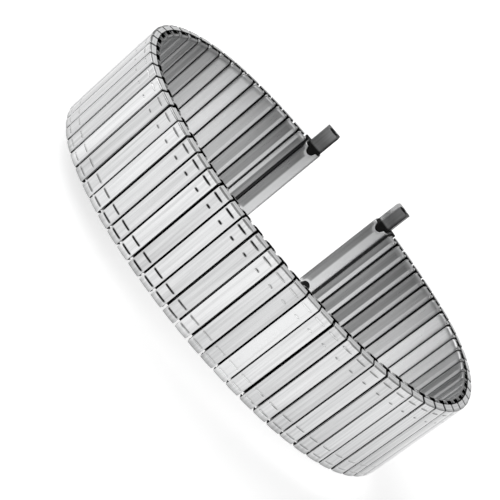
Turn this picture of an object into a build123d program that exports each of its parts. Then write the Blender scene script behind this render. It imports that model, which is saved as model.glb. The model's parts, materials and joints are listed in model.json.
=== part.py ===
from build123d import *
import math
import os

# Expansion watch band, curled as it lies when it is closed.
# The width of the band runs along Z, its long front faces -Y and its two ends meet at +Y.
# Every link is drawn in a frame of its own: X along the band, Y towards the wrist, Z across it.
# All lengths are in millimetres.

# Driving sizes of the band
BAND_WIDTH = 16.0
PITCH = 2.41
LINK_GAP = 0.30
LAYER_GAP = 0.16
OUTER_RISE = 1.20
INNER_DROP = 0.90

# How the band is divided: one front segment, then arms of short segments on both sides
FRONT_LINKS = 11
ARM_LINKS = 5
FRONT_BEND_DEG = 2.55
LEFT_BENDS_DEG = (4.0, 7.75, 8.95, 7.65, 4.5)
RIGHT_BENDS_DEG = (4.4, 8.0, 7.3, 8.65, 2.7)

# Sheet of the sleeves, and the polished shell that is folded over each outer sleeve
SLEEVE_SHEET = 0.10
SHELL_SHEET = 0.25
SHELL_FOLD = 0.20
SHELL_BEVEL = 0.14
SHELL_CORNER = 0.17
PLAN_CORNER = 0.16
FOLD_HEM = 0.06
END_CAP_LENGTH = 0.72
END_PANEL_LENGTH = 1.73
END_STEP = 0.05
SLEEVE_END_CLEARANCE = 0.08

# Links against the wrist
INNER_INSET = 0.05
INNER_BEVEL = 0.16
INNER_MOUTH = 0.42
NOTCH_LENGTH = 0.90

# Clips that join the two layers, and the leaf springs that press on them
CLIP_SHEET = 0.15
CLIP_WIDTH = 0.30
CLIP_LEG = 3.50
CLIP_SIDE_CLEARANCE = 0.03
CLIP_INSET = 0.45
OUTER_LEG_RISE = 0.40
INNER_LEG_DROP = 0.36
SPRING_SHEET = 0.06
SPRING_WIDTH = 1.50
SPRING_LENGTH = 13.6
SPRING_FLAT = 2.0
SPRING_RAMP = 3.0
SPRING_BOW = 0.08
SPRING_CLEARANCE = 0.14

# End pieces that hold the spring bars of the watch
END_LINK_OVERHANG = 0.50
CHANNEL_GAP = 0.35
CHANNEL_LENGTH = 2.95
CHANNEL_HEIGHT = 2.20
CHANNEL_WALL = 0.20
CHANNEL_INSET = 0.40
CHANNEL_BEVEL = 0.35
MOUTH_RADIUS = 0.90
CRIMP_THICKNESS = 0.40
TAB_REACH = 3.60
TAB_LENGTH = 6.00
TAB_CLEARANCE = 0.05
TAB_BEVEL = 0.22
BAR_BORE_RADIUS = 0.70
COIL_WIRE = 0.15

OVERRUN = 1.0

# Sizes that follow
HALF_WIDTH = BAND_WIDTH / 2
HALF_GAP = LAYER_GAP / 2
LINK_LENGTH = PITCH - LINK_GAP
HALF_LINK = LINK_LENGTH / 2
SLEEVE_TOP = SHELL_SHEET - OUTER_RISE
SLEEVE_HALF = HALF_WIDTH - SHELL_FOLD - SLEEVE_END_CLEARANCE
CAVITY_LENGTH = LINK_LENGTH - 2 * SLEEVE_SHEET
INNER_HALF = HALF_WIDTH - INNER_INSET
CLIP_OFFSET = (CAVITY_LENGTH - CLIP_WIDTH) / 2 - CLIP_SIDE_CLEARANCE
CLIP_END = SLEEVE_HALF - CLIP_INSET
CHANNEL_HALF = HALF_WIDTH - CHANNEL_INSET
CHANNEL_START = END_LINK_OVERHANG + CHANNEL_GAP
CHANNEL_END = CHANNEL_START + CHANNEL_LENGTH
CHANNEL_BOTTOM = CHANNEL_HEIGHT - OUTER_RISE
BAR_X = (CHANNEL_START + CHANNEL_END) / 2
BAR_Y = (CHANNEL_BOTTOM - OUTER_RISE) / 2
TAB_TIP = HALF_WIDTH + TAB_REACH


def block(x_span, y_span, z_span):
    """A box given by its limits along X, Y and Z."""
    spans = (x_span, y_span, z_span)
    size = [high - low for low, high in spans]
    middle = [(high + low) / 2 for low, high in spans]
    return Pos(*middle) * Box(*size)


def across(outline, half_width):
    """A section drawn in X and Y, run along Z to both sides of the middle."""
    return extrude(make_face(Polyline(*outline, close=True)), half_width, both=True)


def along(outline, length):
    """A section drawn as (Z, Y) points, run along X to both sides of the middle."""
    plane = Plane(origin=(0, 0, 0), x_dir=(0, 0, 1), z_dir=(-1, 0, 0))
    return extrude(plane * make_face(Polyline(*outline, close=True)), length / 2, both=True)


def mirrored(half):
    """The whole outline of a section that is alike on both sides of the middle."""
    return half + [(-first, second) for first, second in reversed(half)]


def octagon(x_low, x_high, y_low, y_high, bevel):
    """Outline of a rectangle with its four corners cut off."""
    return [
        (x_low, y_low + bevel),
        (x_low + bevel, y_low),
        (x_high - bevel, y_low),
        (x_high, y_low + bevel),
        (x_high, y_high - bevel),
        (x_high - bevel, y_high),
        (x_low + bevel, y_high),
        (x_low, y_high - bevel),
    ]


def both_ends(piece):
    """A cutter at the upper side of the band, with its mirror image at the lower side."""
    return piece + mirror(piece, about=Plane.XY)


def shell_section():
    """Outline of a shell across the links: a flat top between two bevelled edges."""
    hem = -HALF_GAP - FOLD_HEM
    return mirrored([(HALF_LINK - SHELL_BEVEL, -OUTER_RISE), (HALF_LINK, SHELL_BEVEL - OUTER_RISE), (HALF_LINK, hem)])


def outer_shell():
    """Polished cap of one outer link, stepped down towards its folded ends."""
    hem = -HALF_GAP - FOLD_HEM
    cap_start = HALF_WIDTH - END_CAP_LENGTH
    panel_start = cap_start - END_PANEL_LENGTH
    panel_top = END_STEP - OUTER_RISE
    cap_top = panel_top + END_STEP
    outline = mirrored([
        (panel_start, -OUTER_RISE),
        (panel_start, panel_top),
        (cap_start, panel_top),
        (cap_start, cap_top),
        (HALF_WIDTH - SHELL_CORNER, cap_top),
        (HALF_WIDTH, cap_top + SHELL_CORNER),
        (HALF_WIDTH, hem),
        (HALF_WIDTH - SHELL_FOLD, hem),
        (HALF_WIDTH - SHELL_FOLD, SLEEVE_TOP),
    ])
    plan = octagon(-HALF_LINK, HALF_LINK, -HALF_WIDTH, HALF_WIDTH, PLAN_CORNER)
    seen_from_outside = extrude(Plane.XZ * make_face(Polyline(*plan, close=True)), 2 * OUTER_RISE, both=True)
    return across(shell_section(), HALF_WIDTH) & along(outline, LINK_LENGTH) & seen_from_outside


def wall_openings(x_low, x_high, y_low, half_width):
    """Cutters through a wall between the layers, at both ends of a tube, for the clips."""
    span = (y_low - SLEEVE_SHEET / 2, y_low + 1.5 * SLEEVE_SHEET)
    return both_ends(block((x_low, x_high), span, (half_width - NOTCH_LENGTH, HALF_WIDTH)))


def outer_sleeve():
    """Square tube under the shell, with its lower wall cut away at both ends for the clips."""
    half_cavity = CAVITY_LENGTH / 2
    tube = block((-HALF_LINK, HALF_LINK), (SLEEVE_TOP, -HALF_GAP), (-SLEEVE_HALF, SLEEVE_HALF))
    cavity_span = (SLEEVE_TOP + SLEEVE_SHEET, -HALF_GAP - SLEEVE_SHEET)
    cavity = block((-half_cavity, half_cavity), cavity_span, (-HALF_WIDTH, HALF_WIDTH))
    return tube - cavity - wall_openings(-half_cavity, half_cavity, -HALF_GAP - SLEEVE_SHEET, SLEEVE_HALF)


def inner_link(x_low, x_high):
    """Flat tube against the wrist, whose wrist side turns up into a lip at both ends."""
    section = [
        (x_low, HALF_GAP),
        (x_high, HALF_GAP),
        (x_high, INNER_DROP - INNER_BEVEL),
        (x_high - INNER_BEVEL, INNER_DROP),
        (x_low + INNER_BEVEL, INNER_DROP),
        (x_low, INNER_DROP - INNER_BEVEL),
    ]
    outline = mirrored([
        (INNER_HALF, HALF_GAP),
        (INNER_HALF, INNER_DROP - INNER_BEVEL),
        (INNER_HALF - INNER_BEVEL, INNER_DROP),
    ])
    x_span = (x_low + SLEEVE_SHEET, x_high - SLEEVE_SHEET)
    y_start = HALF_GAP + SLEEVE_SHEET
    lip_face = INNER_HALF - SLEEVE_SHEET
    cavity = block(x_span, (y_start, INNER_DROP - SLEEVE_SHEET), (-lip_face, lip_face))
    mouths = block(x_span, (y_start, HALF_GAP + INNER_MOUTH), (-HALF_WIDTH, HALF_WIDTH))
    body = across(section, INNER_HALF) & along(outline, 2 * LINK_LENGTH)
    return body - cavity - mouths - wall_openings(*x_span, HALF_GAP, INNER_HALF)


def clip():
    """Flat staple at the upper side: one leg in an outer sleeve and one in an inner link."""
    outer = -OUTER_LEG_RISE - CLIP_SHEET
    inner = INNER_LEG_DROP + CLIP_SHEET
    leg_end = CLIP_END - CLIP_LEG
    outline = [
        (leg_end, outer),
        (CLIP_END, outer),
        (CLIP_END, inner),
        (leg_end, inner),
        (leg_end, INNER_LEG_DROP),
        (CLIP_END - CLIP_SHEET, INNER_LEG_DROP),
        (CLIP_END - CLIP_SHEET, -OUTER_LEG_RISE),
        (leg_end, -OUTER_LEG_RISE),
    ]
    return along(outline, CLIP_WIDTH)


def leaf_spring(leg_face, side, width):
    """Bowed strip in a tube: its ends lie over the clip legs and its middle at the wall."""
    ends = leg_face + side * SPRING_CLEARANCE
    middle = ends + side * SPRING_BOW
    flat = SPRING_FLAT / 2
    right = [(flat, middle), (flat + SPRING_RAMP, ends), (SPRING_LENGTH / 2, ends)]
    near = [(-z, y) for z, y in reversed(right)] + right
    far = [(z, y + side * SPRING_SHEET) for z, y in reversed(near)]
    return along(near + far, width)


def channel_section():
    """Outline of an end channel across the band, beyond the right end of the links."""
    return octagon(CHANNEL_START, CHANNEL_END, -OUTER_RISE, CHANNEL_BOTTOM, CHANNEL_BEVEL)


def end_channel():
    """Rolled end piece: a tube for the tabs, with a shoulder that is seated on the end link."""
    x_span = (CHANNEL_START + CHANNEL_WALL, CHANNEL_END - CHANNEL_WALL)
    y_span = (CHANNEL_WALL - OUTER_RISE, CHANNEL_BOTTOM - CHANNEL_WALL)
    bore = across(octagon(*x_span, *y_span, CHANNEL_BEVEL - CHANNEL_WALL / 2), HALF_WIDTH)
    tube = across(channel_section(), CHANNEL_HALF)
    lip = block(
        (LINK_GAP / 2, CHANNEL_END - CHANNEL_BEVEL),
        (-OUTER_RISE, CHANNEL_WALL - OUTER_RISE),
        (-HALF_WIDTH, HALF_WIDTH),
    )
    shoulder = block(
        (LINK_GAP / 2, CHANNEL_START + CHANNEL_BEVEL),
        (-OUTER_RISE, HALF_GAP),
        (-CHANNEL_HALF, CHANNEL_HALF),
    )
    recess = block(
        (LINK_GAP / 2 + CHANNEL_WALL, CHANNEL_START),
        (CHANNEL_WALL - OUTER_RISE, HALF_GAP - CHANNEL_WALL),
        (-HALF_WIDTH, HALF_WIDTH),
    )
    crimp = block(x_span, y_span, (-CRIMP_THICKNESS / 2, CRIMP_THICKNESS / 2))
    hole = Pos(BAR_X, BAR_Y, 0) * Cylinder(BAR_BORE_RADIUS, BAND_WIDTH)
    cutter = Rot(90, 0, 0) * Cylinder(MOUTH_RADIUS, 2 * CHANNEL_WALL)
    mouth = both_ends(Pos(BAR_X, CHANNEL_BOTTOM - CHANNEL_WALL / 2, CHANNEL_HALF) * cutter)
    return tube + shoulder + lip - bore - recess + crimp - hole - mouth


def end_tab():
    """Telescoping sleeve at the upper side, bored for the spring bar of the watch."""
    margin = CHANNEL_WALL + TAB_CLEARANCE
    section = octagon(
        CHANNEL_START + margin,
        CHANNEL_END - margin,
        margin - OUTER_RISE,
        CHANNEL_BOTTOM - margin,
        TAB_BEVEL,
    )
    bore = Pos(BAR_X, BAR_Y, 0) * Cylinder(BAR_BORE_RADIUS, TAB_LENGTH + OVERRUN)
    return Pos(0, 0, TAB_TIP - TAB_LENGTH / 2) * (across(section, TAB_LENGTH / 2) - bore)


def coil_spring():
    """Plain tube in the place of the hidden coil between the crimp and the upper tab."""
    low = CRIMP_THICKNESS / 2
    high = TAB_TIP - TAB_LENGTH
    tube = Cylinder(BAR_BORE_RADIUS + COIL_WIRE, high - low) - Cylinder(BAR_BORE_RADIUS, BAND_WIDTH)
    return Pos(BAR_X, BAR_Y, (low + high) / 2) * tube


# Segments of the band from its left end to its right end, and the bend from link to link
ARM_COUNT = len(LEFT_BENDS_DEG)
SEGMENT_NAMES = [f"left_{number}" for number in range(ARM_COUNT, 0, -1)] + ["front"]
SEGMENT_NAMES += [f"right_{number}" for number in range(1, len(RIGHT_BENDS_DEG) + 1)]
SEGMENT_BENDS = LEFT_BENDS_DEG[::-1] + (FRONT_BEND_DEG,) + RIGHT_BENDS_DEG
SEGMENT_LINKS = [FRONT_LINKS if name == "front" else ARM_LINKS for name in SEGMENT_NAMES]
LINK_BENDS = [bend for bend, count in zip(SEGMENT_BENDS, SEGMENT_LINKS) for _ in range(count)]
LINK_COUNT = len(LINK_BENDS)
MIDDLE_LINK = ARM_COUNT * ARM_LINKS + FRONT_LINKS // 2

# Heading of each outer link, with the middle link of the front level
headings = [0.0]
for before, after in zip(LINK_BENDS, LINK_BENDS[1:]):
    headings.append(headings[-1] + (before + after) / 2)
headings = [heading - headings[MIDDLE_LINK] for heading in headings]


def turned(x, y, heading):
    """A point of a frame that is turned about Z."""
    return Vector(x, y).rotate(Axis.Z, heading)


# Points between the outer links, with the left end of the links at the start
joints = [Vector(0, 0)]
for heading in headings:
    joints.append(joints[-1] + turned(PITCH, 0, heading))


def inner_heading(joint):
    """Heading of an inner link, halfway between the outer links that it joins."""
    return (headings[max(joint - 1, 0)] + headings[min(joint, LINK_COUNT - 1)]) / 2


def outermost_points():
    """The corners of every shell and of both end channels, seen along Z."""
    points = []
    for link, heading in enumerate(headings):
        middle = (joints[link] + joints[link + 1]) / 2
        points += [middle + turned(x, y, heading) for x, y in shell_section()]
    for joint, side in ((0, -1), (LINK_COUNT, 1)):
        heading = inner_heading(joint)
        points += [joints[joint] + turned(side * x, y, heading) for x, y in channel_section()]
    return points


# The origin is at the middle of the outline, under the lower tabs
corners = outermost_points()
X_MIDDLE = (min(point.X for point in corners) + max(point.X for point in corners)) / 2
Y_MIDDLE = (min(point.Y for point in corners) + max(point.Y for point in corners)) / 2
joints = [point - Vector(X_MIDDLE, Y_MIDDLE) for point in joints]


def place(point, heading):
    """Frame at a point of the band, at the middle of its width."""
    return Location((point.X, point.Y, TAB_TIP), (0, 0, heading))


def outer_place(link):
    """Frame of an outer link, halfway along its stretch of the band."""
    return place((joints[link] + joints[link + 1]) / 2, headings[link])


def inner_place(joint):
    """Frame of an inner link, under the joint between two outer links."""
    return place(joints[joint], inner_heading(joint))


def clip_place(joint, side):
    """Frame of a clip, beside a joint and halfway between the headings of its two links."""
    link = joint if side > 0 else joint - 1
    heading = (inner_heading(joint) + headings[link]) / 2
    return place(joints[joint] + turned(side * CLIP_OFFSET, 0, heading), heading)


SHELL = outer_shell()
SLEEVE = outer_sleeve()
INNER = inner_link(-HALF_LINK, HALF_LINK)
END_INNER = inner_link(-HALF_LINK, END_LINK_OVERHANG)
UPPER_CLIP = clip()
LOWER_CLIP = mirror(UPPER_CLIP, about=Plane.XY)
OUTER_SPRING = leaf_spring(-OUTER_LEG_RISE - CLIP_SHEET, -1, SPRING_WIDTH)
INNER_SPRING = leaf_spring(INNER_LEG_DROP + CLIP_SHEET, 1, SPRING_WIDTH)
END_SPRING = leaf_spring(INNER_LEG_DROP + CLIP_SHEET, 1, SPRING_WIDTH - HALF_LINK + END_LINK_OVERHANG)


def clips_at(joint, sides=(-1, 1)):
    """The clips beside one joint, at the upper and the lower side of the band."""
    return [clip_place(joint, side) * piece for side in sides for piece in (UPPER_CLIP, LOWER_CLIP)]


nodes = {}
first = 0
for index, (name, count) in enumerate(zip(SEGMENT_NAMES, SEGMENT_LINKS)):
    links = range(first, first + count)
    inner_joints = range(first + 1, first + count)
    nodes[f"{name}_outer_links"] = [outer_place(link) * piece for link in links for piece in (SHELL, SLEEVE)]
    nodes[f"{name}_inner_links"] = [inner_place(joint) * INNER for joint in inner_joints]
    hidden = [outer_place(link) * OUTER_SPRING for link in links]
    for joint in inner_joints:
        hidden += [inner_place(joint) * INNER_SPRING] + clips_at(joint)
    nodes[f"{name}_clips_and_springs"] = hidden
    first += count
    if first < LINK_COUNT:
        rightward = first > MIDDLE_LINK
        owner = SEGMENT_NAMES[index + 1] if rightward else name
        pieces = [inner_place(first) * piece for piece in (INNER, INNER_SPRING)]
        nodes[f"{owner}_hinge_link"] = pieces + clips_at(first)
        slide = headings[first] if rightward else headings[first - 1]
        print(f"hinge {owner} {joints[first].X:.4f} {joints[first].Y:.4f} slide {slide:.3f}")

# Both ends of the band: the right one is drawn, and the left one is its mirror image
for name, joint, side in (("left", 0, -1), ("right", LINK_COUNT, 1)):
    frame = inner_place(joint)
    last_segment = SEGMENT_NAMES[0 if side < 0 else -1]
    spring_x = (END_LINK_OVERHANG - HALF_LINK) / 2
    tab = end_tab()
    coil = coil_spring()
    pieces = {
        f"{name}_end_link": END_INNER,
        f"{name}_end_channel": end_channel(),
        f"{name}_upper_tab": tab,
        f"{name}_lower_tab": mirror(tab, about=Plane.XY),
        f"{name}_upper_spring": coil,
        f"{name}_lower_spring": mirror(coil, about=Plane.XY),
        f"{last_segment}_clips_and_springs": Pos(spring_x, 0, 0) * END_SPRING,
    }
    for node, piece in pieces.items():
        sided = piece if side > 0 else mirror(piece, about=Plane.YZ)
        nodes.setdefault(node, []).append(frame * sided)
    nodes[f"{last_segment}_clips_and_springs"] += clips_at(joint, (-side,))
    bar = joints[joint] + turned(side * BAR_X, BAR_Y, inner_heading(joint))
    print(f"bar {name} {bar.X:.4f} {bar.Y:.4f} heading {inner_heading(joint):.3f}")

STRETCH = CLIP_OFFSET - CLIP_WIDTH / 2 - (PITCH - CAVITY_LENGTH) / 2
print(f"{LINK_COUNT} outer links, a clip can move {STRETCH:.3f} mm in its outer sleeve")

os.makedirs("parts", exist_ok=True)
for name, pieces in nodes.items():
    export_step(Compound([solid for piece in pieces for solid in piece.solids()]), f"parts/{name}.step")
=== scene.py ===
"""An expansion watch band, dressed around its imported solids.

The band stands upright, with the tips of its lower tabs at Z = 0. Its long front faces -Y and its two ends meet at +Y.
Every link is shaped in a frame of its own, in millimetres: X along the band, Y towards the wrist, Z across it.
"""

import json
import logging
import math
from dataclasses import dataclass, field, replace
from enum import Enum

import bpy
import numpy as np
from mathutils import Matrix, Vector

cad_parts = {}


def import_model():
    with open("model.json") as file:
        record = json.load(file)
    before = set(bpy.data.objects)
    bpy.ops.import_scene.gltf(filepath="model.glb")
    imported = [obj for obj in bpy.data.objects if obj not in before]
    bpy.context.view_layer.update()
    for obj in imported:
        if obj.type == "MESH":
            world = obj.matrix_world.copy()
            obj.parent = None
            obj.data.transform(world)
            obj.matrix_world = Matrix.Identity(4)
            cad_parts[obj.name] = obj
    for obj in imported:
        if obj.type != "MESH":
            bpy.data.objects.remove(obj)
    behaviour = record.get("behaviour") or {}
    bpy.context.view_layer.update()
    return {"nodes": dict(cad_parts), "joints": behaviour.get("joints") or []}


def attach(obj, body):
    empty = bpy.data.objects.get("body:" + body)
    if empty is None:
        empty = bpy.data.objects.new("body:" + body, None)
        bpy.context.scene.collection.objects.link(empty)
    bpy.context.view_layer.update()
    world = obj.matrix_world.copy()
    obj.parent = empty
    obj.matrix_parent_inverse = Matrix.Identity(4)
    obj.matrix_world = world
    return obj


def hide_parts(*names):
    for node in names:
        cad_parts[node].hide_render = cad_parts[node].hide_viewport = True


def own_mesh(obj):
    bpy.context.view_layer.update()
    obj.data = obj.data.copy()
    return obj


LOG = logging.getLogger("watch_band")
MM = 0.001
SEED = 7
# The tone of pieces that have no number of their own.
PLAIN_TONE = 0.5
# How much bluer than red the steels are, as a share of their level on each side of green.
COOLNESS = 0.005
# Places that are closer than this, in millimetres, are the same place.
TINY = 0.001
# How far the rings on a quarter circle lie from its end, as shares of its radius.
ROUND_STEPS = 1 - np.sin(np.radians([0, 30, 55, 75, 90]))
# Where the inner row of points on a cap's underside lies, as a share of half its length.
UNDER_SHARE = 0.5
# How far a superellipse's points are drawn towards its corners, in radians.
CORNER_PULL = 0.11


class Side(Enum):
    """The two ends of the band, by the sign of X at which their pieces are drawn."""

    LEFT = -1
    RIGHT = 1


class Level(Enum):
    """The two edges of the band, by the sign of Z in a link's frame."""

    UPPER = 1
    LOWER = -1


@dataclass(frozen=True)
class BandSizes:
    """Driving sizes of the whole band, in millimetres and degrees."""

    width: float = 16.0
    pitch: float = 2.41
    link_gap: float = 0.30
    layer_gap: float = 0.16
    outer_rise: float = 1.20
    inner_drop: float = 0.90
    sheet: float = 0.10
    front_links: int = 11
    arm_links: int = 5
    front_bend: float = 2.55
    left_bends: tuple[float, ...] = (4.0, 7.75, 8.95, 7.65, 4.5)
    right_bends: tuple[float, ...] = (4.4, 8.0, 7.3, 8.65, 2.7)
    tab_tip: float = 11.6

    @property
    def half_width(self) -> float:
        """Half of the band's width."""
        return self.width / 2

    @property
    def half_link(self) -> float:
        """Half of a link's length along the band."""
        return (self.pitch - self.link_gap) / 2

    @property
    def half_gap(self) -> float:
        """Half of the space between the outer and the inner layer."""
        return self.layer_gap / 2


@dataclass(frozen=True)
class Surface:
    """Points and four-sided faces of closed surfaces, in millimetres.

    shade is painted shade: how deep in a gap or crease each point lies, from 0 in the open to 1 at the bottom,
    and also the darker faces, edges and ends that some pieces are given.
    zone is 0 on a piece's main face and 1 on its rounded rims or cut walls, which take the rim's colour: a painted
    highlight on the satin and dull pieces.
    tone is a number of its own for each link, from about 0 for a dark one to about 1 for a light one.
    """

    points: np.ndarray
    faces: np.ndarray
    shade: np.ndarray
    zone: np.ndarray
    tone: np.ndarray

    def outward(self) -> "Surface":
        """The same surface with its faces turned out.

        Returns:
            The surface, with its faces reversed if the volume that they enclose is negative.
        """
        a, b, c, d = (self.points[self.faces[:, k]] for k in range(4))
        volume = np.einsum("ij,ij->", a, np.cross(b, c)) + np.einsum("ij,ij->", a, np.cross(c, d))
        faces = self.faces if volume > 0 else self.faces[:, ::-1]
        return Surface(self.points, faces, self.shade, self.zone, self.tone)

    def placed(self, origin: np.ndarray, heading: float, tone: float = PLAIN_TONE, mirror: int = 1,
               zone_share: float = 1.0) -> "Surface":
        """The surface in the band's frame.

        Args:
            origin: where the frame's origin goes, in millimetres.
            heading: turn about Z, in degrees.
            tone: the link's own number.
            mirror: -1 draws the mirror image in X first.
            zone_share: how much of the zone is kept.

        Returns:
            The turned and moved surface, with its faces pointing out.
        """
        flat = turned(self.points[:, :2] * (mirror, 1), heading)
        points = np.column_stack([flat, self.points[:, 2]]) + origin
        return Surface(points, self.faces, self.shade, self.zone * zone_share, np.full(len(points), tone)).outward()


def turned(points: np.ndarray, heading: float) -> np.ndarray:
    """Points as (..., 2), turned by a heading in degrees: (x cos - y sin, x sin + y cos)."""
    cos, sin = math.cos(math.radians(heading)), math.sin(math.radians(heading))
    return points @ np.array([(cos, sin), (-sin, cos)])


def joined(surfaces: list[Surface]) -> Surface:
    """Several surfaces as one.

    Args:
        surfaces: the surfaces in order.

    Returns:
        Their points and faces, with each one's faces counted on from the one before it.
    """
    starts = np.cumsum([0] + [len(s.points) for s in surfaces[:-1]])
    return Surface(
        np.concatenate([s.points for s in surfaces]),
        np.concatenate([s.faces + start for s, start in zip(surfaces, starts)]),
        np.concatenate([s.shade for s in surfaces]),
        np.concatenate([s.zone for s in surfaces]),
        np.concatenate([s.tone for s in surfaces]),
    )


def skin(grid: np.ndarray, shade: np.ndarray | None = None, zone: np.ndarray | None = None,
         looped: bool = False) -> Surface:
    """A closed surface through a grid of rings.

    Point (r, k) of the grid is joined to (r, k + 1), round the ring, and to (r + 1, k), the next ring.
    The first and last rings are closed by strips between point k and point n - 1 - k, which face each other.

    Args:
        grid: points as (rings, points in a ring, 3).
        shade: painted shade at each point, by its depth, as (rings, points in a ring).
        zone: 0 on the main face and 1 on rims and walls, as (rings, points in a ring).
        looped: whether the last ring joins the first, so that nothing is left to close.

    Returns:
        The surface with its faces pointing out.
    """
    rows, count = grid.shape[:2]
    index = np.arange(rows * count).reshape(rows, count)
    upper = index if looped else index[:-1]
    lower = np.roll(index, -1, axis=0) if looped else index[1:]
    sides = np.stack([upper, np.roll(upper, -1, axis=1), np.roll(lower, -1, axis=1), lower], axis=-1).reshape(-1, 4)
    faces = [sides]
    if not looped:
        k = np.arange(count // 2 - 1)
        across = np.stack([k, k + 1, count - 2 - k, count - 1 - k], axis=1)
        faces += [index[0][across][:, ::-1], index[-1][across]]
    depth, area = (np.zeros((rows, count)) if given is None else given for given in (shade, zone))
    points, tone = grid.reshape(-1, 3), np.full(rows * count, PLAIN_TONE)
    return Surface(points, np.concatenate(faces), depth.ravel(), area.ravel(), tone).outward()


def rings(rows: list[tuple[np.ndarray, np.ndarray | float]]) -> np.ndarray:
    """A grid from rows of an outline, as (points, 2), and its Z, which is one number or one for each point."""
    return np.stack([np.column_stack([outline, np.full(len(outline), z)]) for outline, z in rows])


def mirrored(half: np.ndarray, sign: int = 1) -> np.ndarray:
    """Columns of half a ring, followed by the same ones in reverse times a sign."""
    return np.column_stack([half, sign * half[:, ::-1]])


def bell(distance: float | np.ndarray, spread: float) -> float | np.ndarray:
    """A bell curve: e to the power of minus the square of distance over spread."""
    return np.exp(-((distance / spread) ** 2))


def near_end(end: float | np.ndarray, span: tuple[float, float], place: np.ndarray) -> np.ndarray:
    """Rises from 0 to 1 between two distances from an end."""
    return smooth(end - span[0], end - span[1], place)


def smooth(low: float | np.ndarray, high: float | np.ndarray, value: np.ndarray) -> np.ndarray:
    """Rises from 0 at low to 1 at high, as 3 t squared minus 2 t cubed."""
    t = np.clip((value - low) / (high - low), 0, 1)
    return t * t * (3 - 2 * t)


def quarter(radius: float, distance: np.ndarray) -> np.ndarray:
    """How far a rounded edge falls: radius minus the root of radius squared minus distance squared."""
    inside = np.clip(distance, 0, radius)
    return radius - np.sqrt(radius**2 - inside**2)


def both_ways(stations: np.ndarray) -> np.ndarray:
    """Stations from a negative end to a positive end, alike on both sides of zero."""
    return np.concatenate([-stations[::-1], stations])


@dataclass(frozen=True)
class Crease:
    """A pressed line across a shell: its place from the end in millimetres, and its reach in shares of half a link."""

    place: float
    start: float
    stop: float
    fade: float
    rise: float = 0.12

    def strength(self, share: np.ndarray) -> np.ndarray:
        """1 along the line, rising over a short way at its start and falling over fade before its stop."""
        return smooth(self.start, self.start + self.rise, share) * (1 - smooth(self.stop - self.fade, self.stop, share))


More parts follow.
